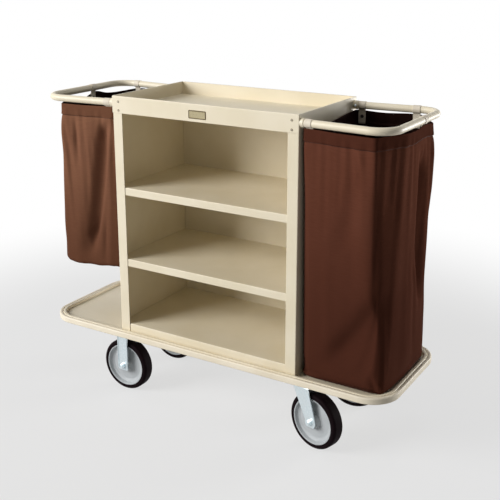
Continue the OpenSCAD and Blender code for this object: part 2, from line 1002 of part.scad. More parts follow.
// Half section of the moulded wheel: hub, dished web and raised rim
module disc_section() {
    hub_r = hub_d / 2;
    web_in = 12;
    web_out = 9;
    rim_lip = 5;
    polygon([
        [bearing_d / 2 + fit_gap, -hub_half], [hub_r - 2, -hub_half], [hub_r, -hub_half + 2],
        [hub_r + 3, -web_in], [disc_r - 20, -web_out], [disc_r - rim_lip - 4, -web_out - 4],
        [disc_r - rim_lip, -rim_half + 1], [disc_r - rim_lip + 1, -rim_half], [disc_r, -rim_half],
        [disc_r, rim_half], [disc_r - rim_lip + 1, rim_half], [disc_r - rim_lip, rim_half - 1],
        [disc_r - rim_lip - 4, web_out + 4], [disc_r - 20, web_out], [hub_r + 3, web_in],
        [hub_r, hub_half - 2], [hub_r - 2, hub_half], [bearing_d / 2 + fit_gap, hub_half]
    ]);
}

// Turns a section with its axis along Y into a wheel's round part
module about_axle() {
    translate([0, 0, axle_z])
        rotate([90, 0, 0])
            rotate_extrude()
                children();
}

module disc() {
    color(GREY)
        about_axle()
            disc_section();
}

module tyre() {
    shoulder = 11;
    crown = 2 * tyre_t;
    color(RUBBER)
        about_axle()
            difference() {
                translate([wheel_d / 2 - crown, 0])
                    rounded(2 * crown, tyre_w, shoulder);
                translate([-over, -tyre_w])
                    square([disc_r + fit_gap + over, 2 * tyre_w]);
            }
}

// Places of the four wheels
module on_rigid(y) {
    translate([-caster_x, y * caster_y, 0])
        children();
}

module on_trail(y) {
    on_swivel(y)
        translate([trail, 0, 0])
            children();
}

platform_deck();
bumper();
channel(-1);  // left_channel
channel(1);  // right_channel
side_panel(-1);  // left_side_panel
side_panel(1);  // right_side_panel
back_panel();
top_tray();
upper_shelf();
middle_shelf();
bottom_shelf();
tray_screws();
base_screws();
bag_frame(-1);  // left_bag_frame
bag_frame(1);  // right_bag_frame
collars(-1);  // left_collars
collars(1);  // right_collars
collar_screws();
bag(-1, left_bag_bottom);  // left_bag
bag(1, right_bag_bottom);  // right_bag
straps(-1);  // left_straps
straps(1);  // right_straps
snaps(-1);  // left_snaps
snaps(1);  // right_snaps
caster_bolts();
caster_nuts();
rigid_fork(-1);  // front_left_fork
on_rigid(-1) axle();  // front_left_axle
on_rigid(-1) spacer();  // front_left_spacer
on_rigid(-1) bearing();  // front_left_bearing
on_rigid(-1) disc();  // front_left_disc
on_rigid(-1) tyre();  // front_left_tyre
rigid_fork(1);  // back_left_fork
on_rigid(1) axle();  // back_left_axle
on_rigid(1) spacer();  // back_left_spacer
on_rigid(1) bearing();  // back_left_bearing
on_rigid(1) disc();  // back_left_disc
on_rigid(1) tyre();  // back_left_tyre
swivel_plate(-1);  // front_right_plate
kingpin(-1);  // front_right_kingpin
kingpin_nut(-1);  // front_right_kingpin_nut
balls(-1);  // front_right_balls
swivel_fork(-1);  // front_right_fork
on_trail(-1) axle();  // front_right_axle
on_trail(-1) spacer();  // front_right_spacer
on_trail(-1) bearing();  // front_right_bearing
on_trail(-1) disc();  // front_right_disc
on_trail(-1) tyre();  // front_right_tyre
swivel_plate(1);  // back_right_plate
kingpin(1);  // back_right_kingpin
kingpin_nut(1);  // back_right_kingpin_nut
balls(1);  // back_right_balls
swivel_fork(1);  // back_right_fork
on_trail(1) axle();  // back_right_axle
on_trail(1) spacer();  // back_right_spacer
on_trail(1) bearing();  // back_right_bearing
on_trail(1) disc();  // back_right_disc
on_trail(1) tyre();  // back_right_tyre
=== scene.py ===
"""Looks of a housekeeping cart: painted steel, nylon bags on tube frames, zinc casters. Metres, CAD frame."""

import json
import math

import bmesh
import bpy
import numpy as np
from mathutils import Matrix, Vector


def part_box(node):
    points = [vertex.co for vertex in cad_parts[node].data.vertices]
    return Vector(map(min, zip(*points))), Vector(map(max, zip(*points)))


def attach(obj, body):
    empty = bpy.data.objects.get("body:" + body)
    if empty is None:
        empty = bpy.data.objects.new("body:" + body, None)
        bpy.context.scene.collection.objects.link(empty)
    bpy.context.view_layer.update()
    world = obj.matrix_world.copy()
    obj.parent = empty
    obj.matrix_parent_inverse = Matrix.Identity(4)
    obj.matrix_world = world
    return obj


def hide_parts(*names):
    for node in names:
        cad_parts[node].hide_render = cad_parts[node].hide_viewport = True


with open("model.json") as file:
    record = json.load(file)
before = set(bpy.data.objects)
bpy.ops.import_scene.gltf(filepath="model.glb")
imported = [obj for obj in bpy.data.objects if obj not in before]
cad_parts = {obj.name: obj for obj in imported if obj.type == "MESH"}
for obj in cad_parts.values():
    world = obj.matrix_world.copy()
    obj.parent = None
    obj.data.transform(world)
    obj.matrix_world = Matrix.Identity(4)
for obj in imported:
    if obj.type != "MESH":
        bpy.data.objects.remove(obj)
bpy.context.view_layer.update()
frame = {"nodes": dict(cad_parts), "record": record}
SCENE = bpy.context.scene

# ---------------------------------------------------------------- camera
camera = bpy.data.objects.new("camera", bpy.data.cameras.new("camera"))
SCENE.collection.objects.link(camera)
SCENE.camera = camera
camera.location = (1.6524, -2.6263, 1.6469)
camera.rotation_euler = (math.radians(90 - 15.518), 0, math.radians(31.256))
camera.data.sensor_width = 36
camera.data.lens = 63.377
camera.data.shift_x = 0.004
camera.data.shift_y = -0.1
SCENE.view_settings.view_transform = "Standard"


# ---------------------------------------------------------------- materials
def linear(hex_colour):
    """Linear RGBA of an sRGB hex colour."""
    parts = [int(hex_colour[i : i + 2], 16) / 255 for i in (1, 3, 5)]
    return (*[c / 12.92 if c <= 0.04045 else ((c + 0.055) / 1.055) ** 2.4 for c in parts], 1)


def add(tree, kind, inputs=None, **settings):
    """Adds a node with its settings, and sets or links its inputs by name or number."""
    node = tree.nodes.new("ShaderNode" + kind)
    for name, value in settings.items():
        setattr(node, name, value)
    for key, value in (inputs or {}).items():
        if isinstance(value, bpy.types.NodeSocket):
            tree.links.new(value, node.inputs[key])
        else:
            node.inputs[key].default_value = value
    return node


def new_material(name):
    """A material and its empty node tree."""
    material = bpy.data.materials.new(name)
    material.use_nodes = True
    material.node_tree.nodes.clear()
    return material, material.node_tree


def per_mm(size):
    """Texture scale for features of about this size in millimetres."""
    return 1000 / size


# How far from a solid's edge its rounding, its wear and its painted highlight show.
PAINTED_EDGE = 0.0016
PLATED_EDGE = 0.0012
MOULDED_EDGE = 0.0015


def edge_mask(tree, width):
    """1 along the edges of a solid, 0 on its faces: how far a rounded normal leans from the true one."""
    rounded = add(tree, "Bevel", {"Radius": width}, samples=4)
    plain = add(tree, "NewGeometry")
    lean = add(
        tree, "VectorMath", {0: rounded.outputs[0], 1: plain.outputs["Normal"]}, operation="DOT_PRODUCT"
    )
    mask = add(tree, "MapRange", {0: lean.outputs["Value"], 1: 0.995, 2: 0.8, 3: 0.0, 4: 1.0})
    return rounded.outputs[0], mask.outputs[0]


def painted(name, colour, shade, edge_wear_and_highlight, roughness):
    """Powder coat or vinyl: a broad drift of tone, fine orange peel, and paler edges, partly rubbed wear and
    partly a painted highlight.
    """
    material, tree = new_material(name)
    place = add(tree, "TexCoord").outputs["Object"]
    drift = add(tree, "TexNoise", {"Vector": place, "Scale": per_mm(160), "Detail": 3.0})
    dust = add(tree, "TexNoise", {"Vector": place, "Scale": per_mm(9), "Detail": 4.0})
    # The coat's orange peel is about 1.5 mm wide; it is drawn at 4 mm so that it shows.
    peel = add(tree, "TexNoise", {"Vector": place, "Scale": per_mm(4), "Detail": 2.0})
    tone = add(tree, "MapRange", {0: drift.outputs[0], 1: 0.35, 2: 0.65})
    speck = add(tree, "MapRange", {0: dust.outputs[0], 1: 0.62, 2: 0.8, 3: 0.0, 4: 0.25})
    base = add(
        tree, "Mix", {0: tone.outputs[0], 6: linear(colour), 7: linear(shade)}, data_type="RGBA"
    ).outputs[2]
    base = add(tree, "Mix", {0: speck.outputs[0], 6: base, 7: linear(shade)}, data_type="RGBA").outputs[2]
    rounded, edge = edge_mask(tree, PAINTED_EDGE)
    # paler edges: partly rubbed wear, partly a painted highlight where a rounded edge catches the light
    wear_and_highlight = add(tree, "Math", {0: edge, 1: dust.outputs[0]}, operation="MULTIPLY")
    base = add(tree, "Mix", {0: wear_and_highlight.outputs[0], 6: base, 7: linear(edge_wear_and_highlight)}, data_type="RGBA").outputs[2]
    gloss = add(
        tree, "MapRange", {0: dust.outputs[0], 1: 0.3, 2: 0.7, 3: roughness - 0.05, 4: roughness + 0.07}
    )
    bump = add(
        tree, "Bump", {"Height": peel.outputs[0], "Distance": 0.00025, "Strength": 0.35, "Normal": rounded}
    )
    shader = add(tree, "BsdfPrincipled", {
        "Base Color": base, "Roughness": gloss.outputs[0], "Normal": bump.outputs[0], "IOR": 1.5,
    })
    add(tree, "OutputMaterial", {"Surface": shader.outputs[0]})
    return material


# Baked polyester powder on pressed sheet steel: an even almond satin, faint orange peel, paler edges from wear
# and a painted highlight.
powder_coated_steel = painted("powder_coated_steel", "#ECE1C8", "#E6DABE", "#F3EBDB", 0.42)
# Extruded vinyl strip: the same almond, waxier and softer in its shine.
extruded_vinyl = painted("extruded_vinyl", "#F3E8D2", "#EBDFC7", "#F5ECDB", 0.5)


def plated(name, colour, dull, spangle_mm, roughness):
    """Bare or plated metal: a mottle of lighter and duller grains, and edges painted brighter, partly as wear
    and partly as a highlight.
    """
    material, tree = new_material(name)
    place = add(tree, "TexCoord").outputs["Object"]
    grains = add(tree, "TexVoronoi", {"Vector": place, "Scale": per_mm(spangle_mm)})
    cloud = add(tree, "TexNoise", {"Vector": place, "Scale": per_mm(30), "Detail": 4.0})
    spread = add(tree, "Math", {0: grains.outputs["Distance"], 1: cloud.outputs[0]}, operation="MULTIPLY")
    mottle = add(tree, "MapRange", {0: spread.outputs[0], 1: 0.1, 2: 0.45})
    base = add(
        tree, "Mix", {0: mottle.outputs[0], 6: linear(colour), 7: linear(dull)}, data_type="RGBA"
    ).outputs[2]
    rounded, edge = edge_mask(tree, PLATED_EDGE)
    # edges lean to the brighter colour: partly wear, partly a painted highlight
    base = add(tree, "Mix", {0: edge, 6: base, 7: linear(colour)}, data_type="RGBA").outputs[2]
    gloss = add(
        tree, "MapRange", {0: mottle.outputs[0], 1: 0.0, 2: 1.0, 3: roughness - 0.06, 4: roughness + 0.12}
    )
    bump = add(
        tree, "Bump", {"Height": cloud.outputs[0], "Distance": 0.0004, "Strength": 0.2, "Normal": rounded}
    )
    shader = add(tree, "BsdfPrincipled", {
        "Base Color": base, "Roughness": gloss.outputs[0], "Normal": bump.outputs[0], "Metallic": 1.0,
    })
    add(tree, "OutputMaterial", {"Surface": shader.outputs[0]})
    return material


# Zinc plate over pressed steel: bluish grey, mottled by its crystals, soft reflections.
zinc_plated_steel = plated("zinc_plated_steel", "#DDE6E9", "#CDD8DC", 9, 0.4)
# The same plate on small screws, dulled by handling: a warm mid grey.
dulled_zinc = plated("dulled_zinc", "#A29A88", "#857D70", 2, 0.5)
# Turned steel of pins, balls and sleeves: darker and brighter in its shine.
turned_steel = plated("turned_steel", "#B9BBBC", "#97999B", 3, 0.24)
# Blackened brass of a snap: nearly black, with rims a little brighter, partly rubbed and partly a painted
# highlight.
blackened_brass = plated("blackened_brass", "#4A413A", "#2A2522", 3, 0.4)


def moulded(name, colour, shade, scuff, grain_mm, roughness, shine):
    """Moulded plastic or rubber: a fine matt grain, a drift of tone, and scuffs."""
    material, tree = new_material(name)
    place = add(tree, "TexCoord").outputs["Object"]
    grain = add(tree, "TexNoise", {"Vector": place, "Scale": per_mm(grain_mm), "Detail": 3.0})
    drift = add(tree, "TexNoise", {"Vector": place, "Scale": per_mm(45), "Detail": 5.0})
    tone = add(tree, "MapRange", {0: drift.outputs[0], 1: 0.3, 2: 0.7})
    base = add(
        tree, "Mix", {0: tone.outputs[0], 6: linear(colour), 7: linear(shade)}, data_type="RGBA"
    ).outputs[2]
    marks = add(tree, "TexNoise", {"Vector": place, "Scale": per_mm(14), "Detail": 6.0, "Distortion": 1.5})
    scuffs = add(tree, "MapRange", {0: marks.outputs[0], 1: 0.6, 2: 0.78, 3: 0.0, 4: 0.5})
    base = add(tree, "Mix", {0: scuffs.outputs[0], 6: base, 7: linear(scuff)}, data_type="RGBA").outputs[2]
    rounded = add(tree, "Bevel", {"Radius": MOULDED_EDGE}, samples=4)
    bump = add(
        tree, "Bump",
        {"Height": grain.outputs[0], "Distance": 0.0003, "Strength": 0.25, "Normal": rounded.outputs[0]},
    )
    gloss = add(tree, "MapRange", {0: scuffs.outputs[0], 1: 0.0, 2: 0.5, 3: roughness, 4: roughness + 0.15})
    shader = add(tree, "BsdfPrincipled", {
        "Base Color": base, "Roughness": gloss.outputs[0], "Normal": bump.outputs[0], "IOR": 1.5,
        "Specular IOR Level": shine,
    })
    add(tree, "OutputMaterial", {"Surface": shader.outputs[0]})
    return material


# Moulded polyolefin wheel centre: pale grey with a satin skin and a faint grain.
moulded_polyolefin = moulded("moulded_polyolefin", "#BBBFC1", "#B2B6B8", "#A7ABAD", 2.5, 0.42, 0.45)
# Cushion rubber tread: near black with a brown cast, matt, scuffed grey where it rolls.
cushion_rubber = moulded("cushion_rubber", "#160B0F", "#11090C", "#201719", 1.8, 0.62, 0.04)


HEM = 0.042  # depth of the doubled band at the top of a bag


def woven(name, colour, shade, thread_mm, roughness, sheen, shine, painted_shade=None):
    """Plain weave from the cloth's own UV in metres: threads, slubs and a soft drift of tone.

    The last argument paints shade: a darker colour, the depths between which it comes in, and its share in the
    hem.
    """
    material, tree = new_material(name)
    uv = add(tree, "UVMap").outputs[0]
    # A wave node's bands are pi / 20 of its unit wide, light or dark; one light band is one thread.
    bands = {"Vector": uv, "Scale": per_mm(thread_mm) / 20 * math.pi, "Distortion": 0.0}
    across, along = (add(tree, "TexWave", bands, bands_direction=way).outputs["Fac"] for way in "XY")
    weave = add(tree, "Math", {0: across, 1: along}, operation="MULTIPLY")
    slub_uv = add(tree, "Mapping", {"Vector": uv, "Scale": (1.0, 9.0, 1.0)})
    slubs = add(tree, "TexNoise", {"Vector": slub_uv.outputs[0], "Scale": per_mm(40), "Detail": 3.0})
    drift = add(tree, "TexNoise", {"Vector": uv, "Scale": per_mm(170), "Detail": 3.0})
    mixed = add(tree, "Math", {0: slubs.outputs[0], 1: drift.outputs[0]}, operation="ADD")
    tone = add(tree, "MapRange", {0: mixed.outputs[0], 1: 0.7, 2: 1.3})
    base = add(
        tree, "Mix", {0: tone.outputs[0], 6: linear(colour), 7: linear(shade)}, data_type="RGBA"
    ).outputs[2]
    # painted shade: darker down the bag for the light's falloff, and in the hem for the tube's shadow
    if painted_shade:
        shadow_colour, top, bottom, hem_shadow_share = painted_shade
        depth = add(tree, "SeparateXYZ", {0: uv}).outputs["Y"]
        lower_shade = add(
            tree, "MapRange", {0: depth, 1: top, 2: bottom, 3: 0.0, 4: 0.85}, interpolation_type="SMOOTHSTEP"
        )
        hem = add(tree, "MapRange", {0: depth, 1: HEM - 0.001, 2: HEM + 0.001, 3: hem_shadow_share, 4: 0.0})
        share = add(tree, "Math", {0: lower_shade.outputs[0], 1: hem.outputs[0]}, operation="MAXIMUM").outputs[0]
        base = add(tree, "Mix", {0: share, 6: base, 7: linear(shadow_colour)}, data_type="RGBA").outputs[2]
    gaps = add(tree, "MapRange", {0: weave.outputs[0], 1: 0.0, 2: 0.35, 3: 0.3, 4: 0.0})
    base = add(tree, "Mix", {0: gaps.outputs[0], 6: base, 7: linear(shade)}, data_type="RGBA").outputs[2]
    bump = add(tree, "Bump", {"Height": weave.outputs[0], "Distance": 0.0003, "Strength": 0.3})
    shader = add(tree, "BsdfPrincipled", {
        "Base Color": base, "Roughness": roughness, "Normal": bump.outputs[0], "IOR": 1.53,
        "Sheen Weight": sheen, "Sheen Roughness": 0.35, "Sheen Tint": linear("#CDB9AE"),
        "Specular IOR Level": shine,
    })
    add(tree, "OutputMaterial", {"Surface": shader.outputs[0]})
    return material


# Coated nylon oxford: deep brown with a silky face. Its 0.5 mm threads are drawn 1.6 mm wide, to show.
# The hem and the lower half are painted darker: painted shade for the tube's shadow on the hem and for the
# light falling off down the bag.
woven_nylon = woven("woven_nylon", "#663D2F", "#5D3628", 1.6, 0.6, 0.08, 0.0, ("#43241B", 0.02, 0.75, 0.75))
# The same oxford painted lighter and greyer: a painted sheen for the brighter light on the left bag.
nylon_painted_lighter = woven("nylon_painted_lighter", "#865D46", "#7A5340", 1.6, 0.6, 0.08, 0.0, ("#47281A", 0.02, 0.75, 0.45))
# Polypropylene webbing: cream ribs, drawn 2.4 mm wide to show.
polypropylene_webbing = woven("polypropylene_webbing", "#EAE0CE", "#DDD1BC", 2.4, 0.6, 0.1, 0.4)
# Bonded polyester thread: a darker brown than the bag's, each stitch catching its own light; its darkness is
# partly painted shade for the groove below the hem.
thread_and_groove_shade = woven("thread_and_groove_shade", "#2E1610", "#24110C", 0.8, 0.6, 0.0, 0.25)
# Polyurethane coating on the cloth's inner face, smooth and dull; its nearly black brown is partly painted
# shade for the inside of the bag.
inner_coating_and_shade = moulded("inner_coating_and_shade", "#1E0D09", "#180A07", "#26130E", 3, 0.6, 0.03)
# Lacquered aluminium of the blank plate: tan, satin, with a faint mottle.
lacquered_aluminium = plated("lacquered_aluminium", "#968D73", "#867D63", 2, 0.45)
# Its etched border: the same metal, much darker and duller.
etched_aluminium = plated("etched_aluminium", "#574B37", "#463B2A", 2, 0.5)

FINISH = {
    "powder_coat": powder_coated_steel,
    "bumper_vinyl": extruded_vinyl,
    "zinc": zinc_plated_steel,
    "steel": turned_steel,
    "wheel_plastic": moulded_polyolefin,
    "tyre_rubber": cushion_rubber,
    "bag_nylon": woven_nylon,
    "webbing": polypropylene_webbing,
    "snap_metal": blackened_brass,
}
for subpart in frame["record"]["subparts"]:
    solid = frame["nodes"][subpart["node"]]
    solid.data.materials.clear()
    solid.data.materials.append(FINISH[subpart["material_slot"]])
# the apron's small screws have lost their shine
frame["nodes"]["tray_screws"].data.materials[0] = dulled_zinc


# ---------------------------------------------------------------- pieces
def new_piece(name, data, *materials):
    """Puts a mesh into the scene as an object with these materials."""
    for material in materials:
        data.materials.append(material)
    piece = bpy.data.objects.new(name, data)
    SCENE.collection.objects.link(piece)
    return piece


def mesh_of(name, shape):
    """A mesh of what was built in bmesh, which is freed."""
    data = bpy.data.meshes.new(name)
    shape.to_mesh(data)
    shape.free()
    return data


# ---------------------------------------------------------------- bags
# The frames: the cabinet's half width, an arm's mid line where it leaves the cabinet, the tubes' height, the
# end bar's distance from the cabinet, the tube's radius, and how far the arms turn away from each other.
HALF_W = 0.376
ARM_Y = 0.20055
FRAME_Z = 1.141
REACH = 0.314
TUBE_R = 0.0127
SPLAY = math.radians(5)
# Distance along an arm and the arm's side; the last strap is on the end bar, at this y.
STRAP_PLACES = [(0.030, -1), (0.030, 1), (0.2258, 1), (None, 0.040)]

# The cloth: its top edge outside the arm's mid line, how far it draws in at the bottom near the cabinet and
# at the far end, the radius of its bottom edge, its thickness and its distance from the cabinet's side.
BAG_EDGE = 0.002
NEAR_DRAW = 0.008
FAR_DRAW = 0.036
EDGE_R = 0.014
CLOTH_T = 0.0012
PANEL_GAP = 0.0012
CUT_AT = (0, 0.45, 1)  # shares of the height at which the far corners' cuts are given
# Corners: how far the near ones lean towards the cabinet below the hem, their cuts along x and y at the hem
# and below it, and how full a corner is: the near ones, and the far ones at the top and at the bottom.
NEAR_LEAN = 0.005
NEAR_CUT_X = (0.008, 0.030)
NEAR_CUT_Y = (0.008, 0.012)
NEAR_FULL = 0.35
FAR_FULL = (0.06, 0.50)
COLUMNS = {"front": 36, "far_front": 16, "end": 36, "far_back": 12, "back": 26, "near_back": 5, "near": 36,
           "near_front": 5}
HEM_ROWS = [0, 0.002, 0.008, 0.018, 0.028, 0.036, 0.0395, 0.0412, 0.0428, 0.0445, 0.047, 0.051, 0.057]
BODY_TOP = 0.066
ROW_PITCH = 0.011
EDGE_ANGLES = (22, 45, 68, 90)
BOTTOM_SHARES = (0.95, 0.86, 0.72, 0.55, 0.36, 0.17)
BOTTOM_UV = 3  # keeps the bottom's UV clear of the walls'

# Depth and how far out: the doubled hem, then the stitched groove below it.
HEM_PROFILE = np.array([
    (0, 0.0006), (0.002, 0.0014), (0.036, 0.0016), (0.0395, 0.0015), (0.0412, -0.0004), (0.0428, -0.0026),
    (0.0445, -0.0022), (0.051, -0.0008), (0.066, 0),
])
GATHERS = [(0.047, 0.0009, 0.7), (0.029, 0.0006, 2.1)]  # length, height and phase of the hem's ripples
STRAP_ROOM = 0.001  # how far the cloth stands out over a strap's tail
# Pairs of depths over which something comes in or goes: the near corners' rounding, the softening of the
# corners, the gathers' start and end, the end of a strap's tail, the weight that holds the hem.
OPENED = (0.055, 0.13)
SOFTENED = (0.07, 0.25)
GATHERED = (0.004, 0.03)
SMOOTHED = (0.045, 0.12)
TAIL_END = (0.05, 0.085)
HELD = (0.05, 0.09)
STRAP_SPREAD = (0.018, 0.040)  # from a strap's middle, the cloth is flat up to here and loose from here
SAG_END = 0.3  # the depth at which the sag of the top edge has gone
DROP_FROM = 0.3  # the share of the height below which the bottom edge's own line comes in
SOFT_KERNEL = np.array([1, 2, 3, 2, 1]) / 9
SOFT_PASSES = 6
FOLD_EASE, FOLD_LEAD, FOLD_TRAIL = 0.10, 0.02, 0.03  # how a fold comes in and dies out along its path

SETTLE_FRAMES = 24
SETTLE_LIMIT = 0.005  # no point of the cloth moves further than this as it hangs
CLOTH = {
    "quality": 6, "mass": 0.12, "tension_stiffness": 30, "compression_stiffness": 8, "shear_stiffness": 8,
    "bending_stiffness": 0.35, "air_damping": 3, "vertex_group_mass": "held", "shrink_min": -0.012,
}
STITCH_PITCH = 0.0055
STITCH = 0.0046
THREAD_T = 0.0014
THREAD_OUT = 0.0005  # of a stitch's mid line from the cloth
THREAD_SIDES = 6
# Places along a stitch, and the share of the thread's thickness there.
STATIONS = [(-0.5, 0.25), (-0.36, 0.9), (0.36, 0.9), (0.5, 0.25)]


def strap_frame(along, where):
    """Middle of a strap on its tube, the tube's direction there, and the way out of the bag."""
    if along is None:
        return Vector((HALF_W + REACH, where, FRAME_Z)), Vector((0, -1, 0)), Vector((1, 0, 0))
    axis = Vector((math.cos(SPLAY), where * math.sin(SPLAY), 0))
    out = Vector((-math.sin(SPLAY), where * math.cos(SPLAY), 0))
    return Vector((HALF_W, where * ARM_Y, FRAME_Z)) + axis * along, axis, out


def smooth(x, low, high):
    """0 below low, 1 above high, easing between."""
    t = np.clip((np.asarray(x, float) - low) / (high - low), 0, 1)
    return t * t * (3 - 2 * t)


def eased(s, points, length):
    """Eases through (place, value) points round the closed outline."""
    points = points + [(points[0][0] + length, points[0][1])]
    s = np.where(s < points[0][0], s + length, s)
    out = np.zeros(len(s))
    for (a, low), (b, high) in zip(points, points[1:]):
        out = np.where((s >= a) & (s <= b), low + (high - low) * smooth(s, a, b), out)
    return out


def bag_outline(near_x, far_x, depth, height, cuts):
    """The cloth's outline at a depth below the top edge, anticlockwise from the near front corner."""
    t = depth / height

    def side(x):
        draw = NEAR_DRAW + (FAR_DRAW - NEAR_DRAW) * (x - near_x) / (far_x - near_x)
        return ARM_Y + (x - HALF_W) * math.tan(SPLAY) + BAG_EDGE - t * draw

    def corner(x, end, sign, cut_y, full):
        """Start, control point and end of a corner's curve: a straight cut at full 0, a sharp corner at 1."""
        a = np.array([x, sign * side(x)])
        tip = np.array([end, sign * side(end)])
        b = tip - np.array([0, sign * cut_y])
        return a, (a + b) / 2 * (1 - full) + tip * full, b

    def bezier(p, q, r, n):
        return [(1 - u) ** 2 * p + 2 * u * (1 - u) * q + u * u * r for u in (np.arange(n) + 0.5) / n]

    def line(p, q, n):
        return [p + (q - p) * u for u in (np.arange(n) + 0.5) / n]

    far = {}
    for name, sign in (("far_front", -1), ("far_back", 1)):
        cut_x, cut_y = (np.interp(t, CUT_AT, row) for row in cuts[name])
        far[name] = corner(far_x - cut_x, far_x, sign, cut_y, np.interp(t, (0, 1), FAR_FULL))
    # tight corners by the cabinet at the hem, wider ones that lean on its side panel below
    opened = smooth(depth, *OPENED)
    start = near_x - NEAR_LEAN * opened
    cut_x, cut_y = (np.interp(opened, (0, 1), cut) for cut in (NEAR_CUT_X, NEAR_CUT_Y))
    nf, nb = (corner(start + cut_x, start, sign, cut_y, NEAR_FULL) for sign in (-1, 1))
    ff, fb = far["far_front"], far["far_back"]
    points = line(nf[0], ff[0], COLUMNS["front"]) + bezier(*ff, COLUMNS["far_front"])
    points += line(ff[2], fb[2], COLUMNS["end"]) + bezier(*fb[::-1], COLUMNS["far_back"])
    points += line(fb[0], nb[0], COLUMNS["back"]) + bezier(*nb, COLUMNS["near_back"])
    points += line(nb[2], nf[2], COLUMNS["near"]) + bezier(*nf[::-1], COLUMNS["near_front"])
    return np.array(points)


def bag_rows(height):
    """Depths of the rows below the top edge: close together at the hem, then about a pitch apart."""
    wall_end = height - EDGE_R
    return np.array(HEM_ROWS + list(np.linspace(BODY_TOP, wall_end, int((wall_end - BODY_TOP) / ROW_PITCH))))


def bag_rings(near_x, far_x, height, depth, cuts):
    """The cloth's outline at each depth, with corners that turn soft below the hem."""
    rings = np.array([bag_outline(near_x, far_x, d, height, cuts) for d in depth])
    soft = rings
    for _ in range(SOFT_PASSES):
        soft = sum(k * np.roll(soft, i - 2, axis=1) for i, k in enumerate(SOFT_KERNEL))
    return rings + (soft - rings) * smooth(depth, *SOFTENED)[:, None, None]


def fold_field(s, depth, folds, length):
    """Height of the listed folds at each depth and column (perimeter place s), in metres."""
    out = np.zeros((len(depth), len(s)))
    for path, before, after, high in folds:
        down, place = np.array(path).T
        centre = np.interp(depth, down, place)
        ease = min(FOLD_EASE, (down[-1] - down[0]) / 2)
        begun = smooth(depth, down[0] - FOLD_LEAD, down[0] + ease)
        ended = smooth(depth, down[-1] - ease, down[-1] + FOLD_TRAIL)
        live = begun * (1 - ended)
        off = (s[None, :] - centre[:, None] + length / 2) % length - length / 2
        out += high * live[:, None] * np.exp(-((off / np.where(off < 0, before, after)) ** 2))
    return out


def bag_relief(s, length, depth, top_ring, folds):
    """How far the cloth stands out of its rings: folds, the hem's gathers and groove, room for the straps."""
    relief = fold_field(s, depth, folds, length)
    gathers = sum(high * np.sin(s * 2 * math.pi / wide + phase) for wide, high, phase in GATHERS)
    relief += gathers[None, :] * (smooth(depth, *GATHERED) - smooth(depth, *SMOOTHED))[:, None]
    relief += np.interp(depth, *HEM_PROFILE.T)[:, None]
    # flat and out where a strap's tail hangs behind the cloth
    spots = [np.array(strap_frame(*place)[0][:2]) for place in STRAP_PLACES]
    straps = np.array([s[np.argmin(np.linalg.norm(top_ring - spot, axis=1))] for spot in spots])
    loose = smooth(np.min(np.abs(s[:, None] - straps), axis=1), *STRAP_SPREAD)[None, :]
    loose = np.maximum(loose, smooth(depth, *TAIL_END)[:, None])
    return relief * loose + STRAP_ROOM * (1 - loose)


def bag_points(node, shape):
    """The bag's points, row by row from the top edge to the middle of the bottom, for the right hand side.

    Also the depths of the walls' rows, the columns' places round the top edge, its length and the height.
    """
    low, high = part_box(node)
    near_x, far_x = sorted((abs(low.x), abs(high.x)))
    top, bottom = high.z, low.z
    height = top - bottom
    depth = bag_rows(height)
    rings = bag_rings(near_x, far_x, height, depth, shape["cuts"])
    step = np.linalg.norm(np.roll(rings[0], -1, axis=0) - rings[0], axis=1)
    s = np.concatenate([[0], np.cumsum(step)[:-1]])
    length = step.sum()
    tangent = np.roll(rings, -1, axis=1) - np.roll(rings, 1, axis=1)
    tangent /= np.linalg.norm(tangent, axis=2, keepdims=True)
    normal = np.stack([tangent[..., 1], -tangent[..., 0]], axis=2)
    sag = eased(s, shape["sag"], length)
    drop = eased(s, shape["drop"], length)
    relief = bag_relief(s, length, depth, rings[0], shape["folds"])
    points = []
    for d, ring, out, lift in zip(depth, rings, normal, relief):
        z = top - d - sag * (1 - smooth(d, 0.0, SAG_END)) - drop * smooth(d, DROP_FROM * height, height)
        points.append(np.column_stack([ring + out * lift[:, None], z]))
    wall = points[-1][:, :2]
    for angle in EDGE_ANGLES:
        inset = EDGE_R * (1 - math.cos(math.radians(angle)))
        z = bottom - drop + EDGE_R * (1 - math.sin(math.radians(angle)))
        points.append(np.column_stack([wall - normal[-1] * inset, z]))
    rim = points[-1][:, :2]
    centre = rim.mean(axis=0)
    for share in BOTTOM_SHARES:
        points.append(np.column_stack([centre + (rim - centre) * share, bottom - drop * share]))
    return np.vstack(points + [[[*centre, bottom]]]), depth, s, length, height


def build_bag(name, node, shape):
    """A lofted bag with its hem, folds and bottom.

    Returns the object, how firmly each point is held as it hangs, the number of columns, the hem's row, and
    the way round the top edge and the height.
    """
    side = shape["side"]
    co, depth, s, length, height = bag_points(node, shape)
    co[:, 0] *= side
    n, walls = len(s), len(depth)
    rows = len(co) // n
    faces = [
        [i * n + j, (i + 1) * n + j, (i + 1) * n + (j + 1) % n, i * n + (j + 1) % n][::side]
        for i in range(rows - 1)
        for j in range(n)
    ]
    faces += [[(rows - 1) * n + j, rows * n, (rows - 1) * n + (j + 1) % n][::side] for j in range(n)]
    mesh = bpy.data.meshes.new(name)
    mesh.from_pydata(co.tolist(), [], faces)
    uv = mesh.uv_layers.new(name="cloth")
    for face in mesh.polygons:
        ids = [mesh.loops[k].vertex_index for k in face.loop_indices]
        cols = [v % n for v in ids]
        wrap = max(cols) - min(cols) > n / 2
        for k, v, c in zip(face.loop_indices, ids, cols):
            if v // n < walls:
                uv.data[k].uv = (s[c] + (length if wrap and c < n / 2 else 0), depth[v // n])
            else:
                uv.data[k].uv = (co[v, 0], co[v, 1] + BOTTOM_UV)
        face.use_smooth = True
    bag = new_piece(name, mesh, shape["cloth"], inner_coating_and_shade)
    held = np.zeros(len(co))
    held[: walls * n] = np.repeat(1 - smooth(depth, *HELD), n)
    held[walls * n :] = shape["rests"]
    return bag, held, n, int(np.argmin(np.abs(depth - HEM))), length, height


